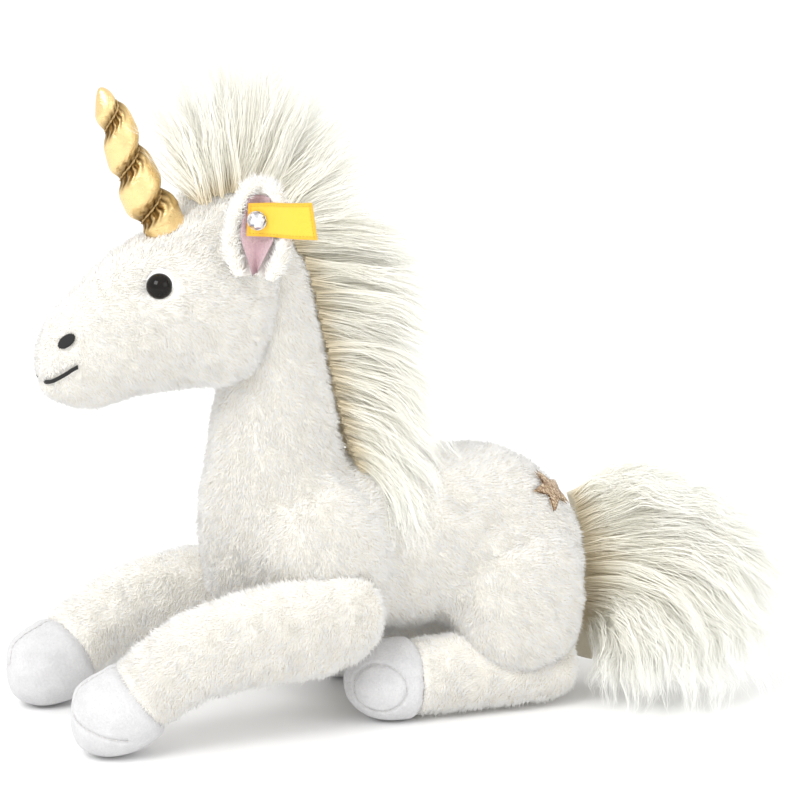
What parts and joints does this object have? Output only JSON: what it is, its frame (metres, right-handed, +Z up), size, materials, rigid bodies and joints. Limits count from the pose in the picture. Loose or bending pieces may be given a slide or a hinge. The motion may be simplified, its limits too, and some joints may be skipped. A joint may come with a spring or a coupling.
{
  "type": "plush unicorn",
  "caption": "Lying plush unicorn with a stuffed spiral horn, long mane and tail, and soft legs, neck, head and ears that flex at their seams.",
  "frame": {"origin": "on the floor under the middle of the whole toy", "axes": "+Z up; the animal faces -Y and its left side is +X"},
  "size_m": [0.1257, 0.2716, 0.235],
  "materials": {
    "plush": "short dense pile",
    "stuffing": "fibre",
    "velour": "very short pile",
    "lining": "velour",
    "lame": "metallic foil on cloth",
    "thread": "twisted thread",
    "black_thread": "satin stitches",
    "eye": "polished",
    "washer": "moulded",
    "mane_fur": "long fine pile",
    "backing": "knitted backing",
    "glitter": "glitter",
    "tag": "woven",
    "stone": "faceted, clear",
    "metal": "polished"
  },
  "bodies": {
    "torso": {"torso_cover": "plush", "torso_stuffing": "stuffing", "star_patch": "glitter"},
    "neck": {"neck_cover": "plush", "neck_stuffing": "stuffing", "mane": "mane_fur"},
    "head": {"head_cover": "plush", "head_stuffing": "stuffing", "left_eye": "eye", "right_eye": "eye", "left_eye_washer": "washer", "right_eye_washer": "washer", "left_nostril_stitching": "black_thread", "right_nostril_stitching": "black_thread", "mouth_stitching": "black_thread", "forelock": "mane_fur"},
    "horn": {"horn_cover": "lame", "horn_stuffing": "stuffing", "horn_thread": "thread"},
    "left_ear": {"left_ear": "plush", "left_ear_lining": "lining", "ear_stud_post": "metal", "ear_stud_stone": "stone", "ear_stud_washer": "metal"},
    "right_ear": {"right_ear": "plush", "right_ear_lining": "lining"},
    "ear_tag": {"ear_tag": "tag"},
    "tail": {"tail_fur": "mane_fur", "tail_cloth": "backing"},
    "left_fore_leg": {"left_fore_leg_cover": "plush", "left_fore_leg_stuffing": "stuffing", "left_fore_hoof": "velour"},
    "left_hind_leg": {"left_hind_leg_cover": "plush", "left_hind_leg_stuffing": "stuffing", "left_hind_hoof": "velour"},
    "right_fore_leg": {"right_fore_leg_cover": "plush", "right_fore_leg_stuffing": "stuffing", "right_fore_hoof": "velour"},
    "right_hind_leg": {"right_hind_leg_cover": "plush", "right_hind_leg_stuffing": "stuffing", "right_hind_hoof": "velour"}
  },
  "joints": [
    {"name": "neck_turn", "type": "hinge", "parent": "torso", "child": "neck", "pos_m": [-0.0099, -0.04785, 0.072], "axis": [0, 0, 1], "range_deg": [-12, 12], "stiffness_Nm_per_rad": 0.6},
    {"name": "head_nod", "type": "hinge", "parent": "neck", "child": "head", "pos_m": [-0.0099, -0.06135, 0.138], "axis": [1, 0, 0], "range_deg": [-6, 10], "stiffness_Nm_per_rad": 1.2, "springref_deg": -0.46},
    {"name": "horn_tilt", "type": "hinge", "parent": "head", "child": "horn", "pos_m": [-0.0099, -0.08685, 0.1713], "axis": [1, 0, 0], "range_deg": [-5, 5], "stiffness_Nm_per_rad": 0.15},
    {"name": "left_ear_flap", "type": "hinge", "parent": "head", "child": "left_ear", "pos_m": [0.0167, -0.06135, 0.1565], "axis": [0, 1, 0], "range_deg": [-2, 25], "stiffness_Nm_per_rad": 0.05},
    {"name": "right_ear_flap", "type": "hinge", "parent": "head", "child": "right_ear", "pos_m": [-0.0365, -0.06135, 0.1565], "axis": [0, -1, 0], "range_deg": [-2, 25], "stiffness_Nm_per_rad": 0.05},
    {"name": "tag_swivel", "type": "hinge", "parent": "left_ear", "child": "ear_tag", "pos_m": [0.0193, -0.06075, 0.17632], "axis": [0.8536, -0.512, -0.0966], "range_deg": [-20, 20]},
    {"name": "left_fore_leg_lift", "type": "hinge", "parent": "torso", "child": "left_fore_leg", "pos_m": [0.0281, -0.02935, 0.041], "axis": [-1, 0, 0], "range_deg": [0, 20], "stiffness_Nm_per_rad": 0.6},
    {"name": "right_fore_leg_lift", "type": "hinge", "parent": "torso", "child": "right_fore_leg", "pos_m": [-0.0479, -0.02935, 0.041], "axis": [-1, 0, 0], "range_deg": [0, 20], "stiffness_Nm_per_rad": 0.6},
    {"name": "left_hind_leg_swing", "type": "hinge", "parent": "torso", "child": "left_hind_leg", "pos_m": [0.0171, 0.04565, 0.014], "axis": [0, 0, 1], "range_deg": [0, 20], "stiffness_Nm_per_rad": 0.3},
    {"name": "right_hind_leg_swing", "type": "hinge", "parent": "torso", "child": "right_hind_leg", "pos_m": [-0.0369, 0.04565, 0.014], "axis": [0, 0, -1], "range_deg": [0, 20], "stiffness_Nm_per_rad": 0.3},
    {"name": "tail_swing", "type": "hinge", "parent": "torso", "child": "tail", "pos_m": [-0.0099, 0.06065, 0.068], "axis": [0, 0, 1], "range_deg": [-3, 45], "stiffness_Nm_per_rad": 0.2}
  ]
}
